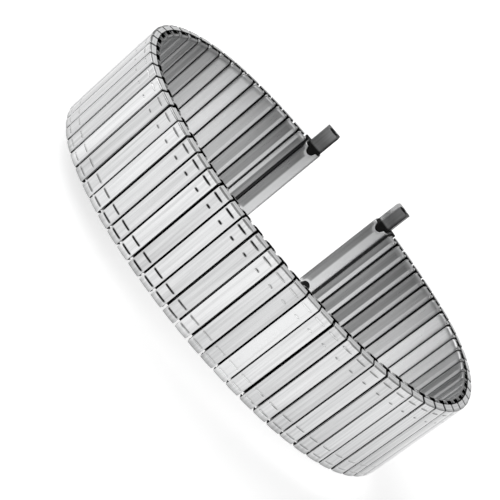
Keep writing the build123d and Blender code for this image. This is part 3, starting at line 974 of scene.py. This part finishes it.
@dataclass(frozen=True)
class Metal:
    """A finish of worked metal, with fine streaks along the links.

    Streaks run along Z, because every link's length does. Object coordinates are in metres, so the scales are
    in cycles per metre. light and dark are the ends of the face's colour, rim is the colour of rounded rims or
    cut walls, and gap is the colour of the painted shade at the bottom of gaps and creases. The rim's colour is a
    painted highlight on the satin and dull steels, and on the polished shells a rougher finish that is also paler,
    which paints their walls and end faces lighter. tone_share is how much a link's own number counts beside the
    streaks, and streak_range is the part of the noise between dark and light. Bumps are in millimetres deep.
    """

    name: str
    slot: str
    light: tuple[float, float, float]
    dark: tuple[float, float, float]
    rim: tuple[float, float, float]
    gap: tuple[float, float, float]
    roughness: tuple[float, float]
    rim_roughness: float = 0.25
    streak: tuple[float, float] = (2600.0, 60.0)
    grain: tuple[float, float] = (22000.0, 700.0)
    detail: float = 3.0
    bump: float = 0.05
    bump_depth: float = 0.02
    tone_share: float = 0.3
    streak_range: tuple[float, float] = (0.38, 0.62)

    def noise(self, graph: Graph, scale: tuple[float, float]) -> bpy.types.NodeSocket:
        """Noise on object coordinates, stretched along Z.

        Args:
            graph: the material's nodes.
            scale: cycles per metre across the links and along them.

        Returns:
            The noise's value.
        """
        across, along = scale
        place = graph.add("TexCoord").outputs["Object"]
        stretch = graph.add("Mapping", {"Scale": (across, across, along), "Vector": place}).outputs["Vector"]
        return graph.add("TexNoise", {"Scale": 1.0, "Detail": self.detail, "Vector": stretch}).outputs["Fac"]

    def attribute(self, graph: Graph, name: str) -> bpy.types.NodeSocket:
        """The value of a mesh attribute."""
        return graph.add("Attribute", attribute_name=name).outputs["Fac"]

    def blend(self, graph: Graph, share: bpy.types.NodeSocket, first: bpy.types.NodeSocket,
              second: tuple[float, float, float]) -> bpy.types.NodeSocket:
        """Mixes a colour towards a fixed one by a share from 0 to 1."""
        return graph.add("Mix", {"Factor": share, "A": first, "B": (*second, 1)}, data_type="RGBA").outputs["Result"]

    def material(self) -> bpy.types.Material:
        """Builds the node material.

        Returns:
            Colour between dark and light by a stretched noise and each link's tone, turned to the rim's colour by
            zone, a painted highlight on some steels, and to the gap's by shade, which is painted shade, with roughness
            from a finer noise and from zone, and a fine bump.
        """
        made = bpy.data.materials.new(self.name)
        made.use_nodes = True
        graph = Graph(made.node_tree)
        broad, fine = self.noise(graph, self.streak), self.noise(graph, self.grain)
        mixed = graph.add("Mix", {"Factor": self.tone_share, "A": broad, "B": self.attribute(graph, "tone")})
        ramp = graph.add("ValToRGB", {"Fac": mixed.outputs["Result"]})
        low, high = (place * (1 - self.tone_share) for place in self.streak_range)
        ends = (low, self.dark), (high + self.tone_share, self.light)
        for stop, (place, colour) in zip(ramp.color_ramp.elements, ends):
            stop.position, stop.color = place, (*colour, 1)
        # Painted light and shade: zone turns the face to the rim's colour, a painted highlight on satin and dull steel,
        # and shade turns it to gap, the painted shade.
        zone = self.attribute(graph, "zone")
        face = self.blend(graph, zone, ramp.outputs["Color"], self.rim)
        base = self.blend(graph, self.attribute(graph, "shade"), face, self.gap)
        rough = graph.add("MapRange", {"Value": fine, "To Min": self.roughness[0], "To Max": self.roughness[1]})
        edge = graph.add("Mix", {"Factor": zone, "A": rough.outputs["Result"], "B": self.rim_roughness})
        bump = graph.add("Bump", {"Strength": self.bump, "Distance": self.bump_depth * MM, "Height": fine})
        graph.feed(made.node_tree.nodes["Principled BSDF"], {
            "Metallic": 1.0, "Base Color": base, "Roughness": edge.outputs["Result"],
            "Normal": bump.outputs["Normal"]})
        return made


def grey(level: float) -> tuple[float, float, float]:
    """Steel of a level of grey, very slightly cool."""
    return level * (1 - COOLNESS), level, level * (1 + COOLNESS)


# Polished steel's rim colour is rougher and paler, partly a finish and partly painted light on the shells' walls and
# end faces.
POLISHED = Metal("polished steel", "polished_steel", light=grey(0.78), dark=grey(0.48), rim=grey(0.92),
                 gap=grey(0.006), roughness=(0.10, 0.20), rim_roughness=0.60)
# Sleeve steel is darker than the others, which paints shade into the gaps between the shells where the sleeves show.
SLEEVE = Metal("sleeve steel", "dull_steel", light=grey(0.40), dark=grey(0.25), rim=grey(0.25), gap=grey(0.004),
               roughness=(0.3, 0.4))
# Satin steel's wide span from dark to light carries each inner link's tone, which paints light and shade along the
# band, and its rim colour is a painted highlight.
SATIN = Metal("satin steel", "satin_steel", light=grey(0.88), dark=grey(0.15), rim=grey(0.80), gap=grey(0.004),
              roughness=(0.24, 0.34), rim_roughness=0.40, grain=(12000.0, 500.0), tone_share=0.8)
# Dull steel's pale rim colour is the tabs' painted glint.
DULL = Metal("dull steel", "dull_steel", light=grey(0.33), dark=grey(0.20), rim=grey(0.85), gap=grey(0.003),
             roughness=(0.28, 0.42))
SPRING = Metal("spring steel", "spring_steel", light=grey(0.55), dark=grey(0.40), rim=grey(0.45), gap=grey(0.05),
               roughness=(0.2, 0.35))


@dataclass
class Workshop:
    """Makes Blender pieces from surfaces and keeps one material for each finish."""

    crease_angle: float = 38.0
    materials: dict[str, bpy.types.Material] = field(default_factory=dict)

    def finish(self, metal: Metal) -> bpy.types.Material:
        """The material of a finish.

        Args:
            metal: the finish.

        Returns:
            The material, which is made at its first use.
        """
        if metal.name not in self.materials:
            self.materials[metal.name] = metal.material()
        return self.materials[metal.name]

    def piece(self, name: str, surface: Surface, metal: Metal, body: str,
              replaces: tuple[str, ...] = ()) -> bpy.types.Object:
        """Adds a piece to the scene.

        Args:
            name: name of the piece.
            surface: its surface in the band's frame, in millimetres.
            metal: its finish.
            body: the body that it rides on.
            replaces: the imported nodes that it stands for.

        Returns:
            The new object, at the origin, with its place in its mesh.
        """
        mesh = bpy.data.meshes.new(name)
        mesh.from_pydata(surface.points * MM, [], surface.faces)
        mesh.update()
        mesh.polygons.foreach_set("use_smooth", np.ones(len(mesh.polygons), bool))
        mesh.set_sharp_from_angle(angle=math.radians(self.crease_angle))
        for attribute, values in (("shade", surface.shade), ("zone", surface.zone), ("tone", surface.tone)):
            mesh.attributes.new(attribute, "FLOAT", "POINT").data.foreach_set("value", values.astype(np.float32))
        mesh.materials.append(self.finish(metal))
        made = bpy.data.objects.new(name, mesh)
        bpy.context.scene.collection.objects.link(made)
        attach(made, body)
        if replaces:
            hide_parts(*replaces)
        LOG.info("%s: %d faces on %s", name, len(mesh.polygons), body)
        return made

    def dress(self, node: bpy.types.Object, metal: Metal) -> None:
        """Gives a kept node the material of a finish."""
        node.data.materials.clear()
        node.data.materials.append(self.finish(metal))


@dataclass
class Links:
    """Builds the links of every segment and the inner links at the hinges.

    slack is how far a shell may sit off its place along the band. Bell curves along the band have a middle and a
    spread, in links. bright_joints has one for each arm's inner links that are painted lightest, in place of the
    light that they reflect, crease_shades one for the painted shade of the creases at the upper edge and one at the
    lower, and link_tones some that change the shells' tones by their third number. rim_spread is how far from the
    band's ends the painted highlight on the inner links' rims fades.
    """

    band: BandSizes
    chain: Chain
    shop: Workshop
    tones: np.random.Generator
    sleeve_clearance: float = 0.38
    bright_joints: tuple[tuple[float, float], ...] = ((4.9, 2.6), (54.4, 2.0))
    tone_floor: float = 0.08
    tone_swing: float = 0.12
    rim_floor: float = 0.40
    rim_spread: float = 4.5
    end_clearance: float = 0.05
    sleeve_depth: float = 0.9
    slack: float = 0.07
    crease_shades: tuple[tuple[float, float], ...] = ((26.5, 4.0), (25.8, 4.0))
    crease_floor: float = 0.06
    link_tones: tuple[tuple[float, float, float], ...] = ((13.0, 3.5, -1.0), (47.0, 3.0, -1.0), (33.5, 4.0, 0.5))

    def build(self) -> None:
        """Adds the pieces of all segments."""
        band = self.band
        shell_maker = OuterShell(band)
        sleeve = FoldedTube(-band.half_link, band.half_link, -band.half_gap, shell_maker.sheet - band.outer_rise,
                            band.half_width - self.sleeve_clearance, band.sheet,
                            gap_depth=self.sleeve_depth).surface()
        plate = self.inner_tube(band.half_link).surface()
        metal = JointMetal(band)
        for index, segment in enumerate(self.chain.segments):
            name = segment.name
            outer = [self.shell(shell_maker, k) for k in segment.links]
            inner = [self.inner_plate(plate, k) for k in segment.joints]
            sleeves = [sleeve.placed(*self.chain.outer_place(k), self.tone()) for k in segment.links]
            self.shop.piece(f"{name}_shells", joined(outer), POLISHED, name, (f"{name}_outer_links",))
            self.shop.piece(f"{name}_sleeves", joined(sleeves), SLEEVE, name)
            self.shop.piece(f"{name}_plates", joined(inner), SATIN, name, (f"{name}_inner_links",))
            if index:
                before = self.chain.segments[index - 1].name
                owner = name if name.startswith("right") else before
                self.hinge(owner, segment.first, plate, metal)

    def tone(self) -> float:
        """The next link's own number."""
        return float(self.tones.uniform())

    def shell(self, maker: OuterShell, link: int) -> Surface:
        """An outer link's cap, which sits a little unevenly and has the darkest painted shade in its creases near the
        front's left.

        Args:
            maker: the cap's sizes.
            link: its number.

        Returns:
            The placed cap, moved along the band by a small random step, with the painted shade of its creases and a
            tone that follow bell curves of the link's number.
        """
        # Painted shade in the creases, darkest near the front's left.
        upper, lower = (max(self.crease_floor, bell(link - middle, spread)) for middle, spread in self.crease_shades)
        pressed = replace(maker, upper_dark=maker.upper_dark * upper, lower_dark=maker.lower_dark * lower)
        origin, heading = self.chain.outer_place(link)
        step = self.slack * (2 * self.tone() - 1)
        origin = origin + np.append(turned(np.array([step, 0.0]), heading), 0.0)
        tone = self.tone() + sum(rise * bell(link - middle, spread) for middle, spread, rise in self.link_tones)
        return pressed.surface().placed(origin, heading, tone)

    def plate_tone(self, joint: int) -> float:
        """How light an inner link is painted, in place of the light that it reflects along the band.

        Args:
            joint: its number.

        Returns:
            A low level plus a bell curve about the brightest link of each arm, plus the link's own small part.
        """
        # Painted light: inner links are lighter about each arm's brightest link.
        bells = sum(bell(joint - middle, spread) for middle, spread in self.bright_joints)
        return self.tone_floor + (1 - self.tone_swing - self.tone_floor) * bells + self.tone_swing * self.tone()

    def inner_plate(self, plate: Surface, joint: int) -> Surface:
        """The inner link at a joint, whose rims have the strongest painted highlight near the band's ends.

        Args:
            plate: the inner link in its own frame.
            joint: its number.

        Returns:
            The placed link, with its rims' painted highlight fading along a bell curve of the joints from the nearer
            end.
        """
        away = min(joint, len(self.chain.headings) - joint)
        # Painted highlight on the rims, strongest near the band's ends.
        rim = self.rim_floor + (1 - self.rim_floor) * bell(away, self.rim_spread)
        return plate.placed(*self.chain.inner_place(joint), self.plate_tone(joint), zone_share=rim)

    def inner_tube(self, overhang: float) -> FoldedTube:
        """The folded tube of an inner link.

        Args:
            overhang: how far it reaches past its joint, in millimetres.

        Returns:
            The tube, with rounded ends that a lip closes.
        """
        band = self.band
        return FoldedTube(-band.half_link, overhang, band.half_gap, band.inner_drop,
                          band.half_width - self.end_clearance, band.sheet, edge_across=0.50, edge_down=0.22,
                          end_along=0.40, end_down=0.26, plan_radius=0.34, lip=0.42)

    def hinge(self, owner: str, joint: int, plate: Surface, metal: JointMetal) -> None:
        """Adds the inner link at a hinge with its clips and its leaf spring.

        Args:
            owner: the segment whose name the hinge has.
            joint: its number.
            plate: the inner link in its own frame.
            metal: the sizes of its clips and its spring.
        """
        place = self.chain.inner_place(joint)
        body = f"{owner}_hinge"
        self.shop.piece(f"{owner}_hinge_plate", self.inner_plate(plate, joint), SATIN, body, (f"{owner}_hinge_link",))
        small = [metal.leaf_spring().placed(*place)]
        small += [metal.clip(level).placed(*self.chain.clip_place(joint, side, metal.clip_offset))
                  for side in (-1, 1) for level in Level]
        self.shop.piece(f"{owner}_hinge_clips", joined(small), SPRING, body)


@dataclass
class Ends:
    """Builds the end link, channel, tabs and coils at both ends of the band.

    glints is where the painted glint of each end's tabs starts, by the end's sign of X, and is past 1 for none.
    """

    band: BandSizes
    chain: Chain
    shop: Workshop
    links: Links
    overhang: float = 0.50
    tab_travel: float = 3.40
    # The end link's and the channel's low tones paint them darker, as painted shade for the dark that they reflect.
    link_tone: float = 0.12
    channel_tone: float = 0.16
    glints: dict[int, float] = field(default_factory=lambda: {-1: 1.20, 1: 0.48})

    def build(self) -> None:
        """Adds the pieces of both ends."""
        maker = EndPieces(self.band)
        for side in Side:
            name, sign = side.name.lower(), side.value
            maker = replace(maker, lit=sign, glint=self.glints[sign])
            joint = 0 if side is Side.LEFT else len(self.chain.headings)
            body = f"{name}_{len(self.band.left_bends)}"
            origin, heading = self.chain.inner_place(joint)
            place = {"origin": origin, "heading": heading, "mirror": sign}
            link = self.links.inner_tube(self.overhang).surface().placed(**place, tone=self.link_tone)
            self.shop.piece(f"{name}_end_plate", link, SATIN, body, (f"{name}_end_link",))
            parts = maker.tube(), maker.crimp_ring(), maker.shoulder(), maker.cover()
            channel = joined([part.placed(**place, tone=self.channel_tone) for part in parts])
            self.shop.piece(f"{name}_channel", channel, SATIN, body, (f"{name}_end_channel",))
            for level in Level:
                word = level.name.lower()
                self.shop.piece(f"{name}_{word}_sleeve_tab", maker.tab(level).placed(**place), DULL,
                                f"{name}_{word}_tab", (f"{name}_{word}_tab",))
                coil = self.shop.piece(f"{name}_{word}_coil", maker.coil(level).placed(**place), SPRING, body,
                                       (f"{name}_{word}_spring",))
                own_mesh(coil)


@dataclass(frozen=True)
class Lamp:
    """A square lamp that faces the object's middle, with its place and side in metres and its power in watts."""

    name: str
    place: tuple[float, float, float]
    power: float
    side: float

    def add(self) -> None:
        """Adds it to the scene."""
        data = bpy.data.lights.new(self.name, "AREA")
        data.energy, data.size = self.power, self.side
        lamp = bpy.data.objects.new(self.name, data)
        bpy.context.scene.collection.objects.link(lamp)
        lamp.location = self.place
        lamp.rotation_euler = (-Vector(self.place)).to_track_quat("-Z", "Y").to_euler()


@dataclass(frozen=True)
class Studio:
    """Plain pale floor, soft lamps and the camera, whose eye is in millimetres and whose axes are unit vectors."""

    photo_pixels: int = 500
    focal_pixels: float = 1487.3
    sensor: float = 36.0
    clip: tuple[float, float] = (0.01, 50.0)
    eye: tuple[float, float, float] = (-4.86, -188.13, 85.89)
    right: tuple[float, float, float] = (0.6337, 0.2842, 0.7195)
    down: tuple[float, float, float] = (0.7735, -0.2510, -0.5820)
    forward: tuple[float, float, float] = (0.0152, 0.9253, -0.3788)
    white: tuple[float, float, float, float] = (1, 1, 1, 1)
    sky: float = 0.44
    floor_half: float = 20.0
    floor_colour: tuple[float, float, float, float] = (0.92, 0.92, 0.92, 1)
    floor_roughness: float = 0.9
    floor_glow: float = 0.48
    lamps: tuple[Lamp, ...] = (
        Lamp("key", (-0.46, 0.15, 0.35), 1.8, 0.60),
        Lamp("front", (0.2, -0.7, 0.35), 0.7, 0.5),
        Lamp("back", (0.28, 0.62, 0.32), 0.28, 0.5),
    )

    def camera(self) -> None:
        """Adds the camera: its X is to the right of the image, its Y up and its Z backwards."""
        data = bpy.data.cameras.new("camera")
        data.sensor_width = self.sensor
        data.lens = self.focal_pixels * self.sensor / self.photo_pixels
        data.clip_start, data.clip_end = self.clip
        camera = bpy.data.objects.new("camera", data)
        bpy.context.scene.collection.objects.link(camera)
        axes = np.column_stack([self.right, -np.array(self.down), -np.array(self.forward)])
        turn = Matrix(axes.tolist()).to_quaternion().to_matrix().to_4x4()
        camera.matrix_world = Matrix.Translation(Vector(self.eye) * MM) @ turn
        bpy.context.scene.camera = camera

    def world(self) -> None:
        """Adds an even white sky."""
        world = bpy.data.worlds.new("studio")
        world.use_nodes = True
        bpy.context.scene.world = world
        Graph(world.node_tree).feed(world.node_tree.nodes["Background"], {"Color": self.white, "Strength": self.sky})

    def floor_finish(self) -> bpy.types.Material:
        """Builds the floor's material.

        Returns:
            A dull pale face, with a glow that only the camera, mirrors and glass see, so that it lights nothing.
        """
        made = bpy.data.materials.new("pale floor")
        made.use_nodes = True
        graph = Graph(made.node_tree)
        rays = graph.add("LightPath").outputs
        seen = rays["Is Camera Ray"]
        for kind in ("Glossy", "Transmission"):
            seen = graph.add("Math", {0: seen, 1: rays[f"Is {kind} Ray"]}, operation="MAXIMUM").outputs[0]
        glow = graph.add("Math", {0: seen, 1: self.floor_glow}, operation="MULTIPLY").outputs[0]
        graph.feed(made.node_tree.nodes["Principled BSDF"], {
            "Base Color": self.floor_colour, "Roughness": self.floor_roughness, "Specular IOR Level": 0.0,
            "Emission Color": self.white, "Emission Strength": glow})
        return made

    def floor(self) -> None:
        """Adds the floor, a wide square under the tips of the lower tabs."""
        corners = np.array([(-1, -1, 0), (1, -1, 0), (1, 1, 0), (-1, 1, 0)], float) * self.floor_half
        mesh = bpy.data.meshes.new("floor")
        mesh.from_pydata(corners, [], [(0, 1, 2, 3)])
        mesh.materials.append(self.floor_finish())
        floor = bpy.data.objects.new("floor", mesh)
        bpy.context.scene.collection.objects.link(floor)

    def build(self) -> None:
        """Adds everything that isn't the object."""
        self.camera()
        self.world()
        self.floor()
        for lamp in self.lamps:
            lamp.add()
        bpy.context.scene.view_settings.view_transform = "Standard"


def dress_kept_nodes(nodes: dict[str, bpy.types.Object], shop: Workshop) -> None:
    """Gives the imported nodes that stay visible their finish, which are the segments' clips and leaf springs.

    Args:
        nodes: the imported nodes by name.
        shop: where the finishes are kept.
    """
    for node in nodes.values():
        if not node.hide_render:
            shop.dress(node, SPRING)


def main() -> None:
    """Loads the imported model, adds every piece and finishes."""
    logging.basicConfig(level=logging.INFO, format="%(message)s")
    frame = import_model()
    band = BandSizes()
    chain = Chain(band)
    chain.settle(frame["joints"])
    shop = Workshop()
    links = Links(band, chain, shop, np.random.default_rng(SEED))
    links.build()
    Ends(band, chain, shop, links).build()
    dress_kept_nodes(frame["nodes"], shop)
    Studio().build()


if __name__ == "__main__":
    main()
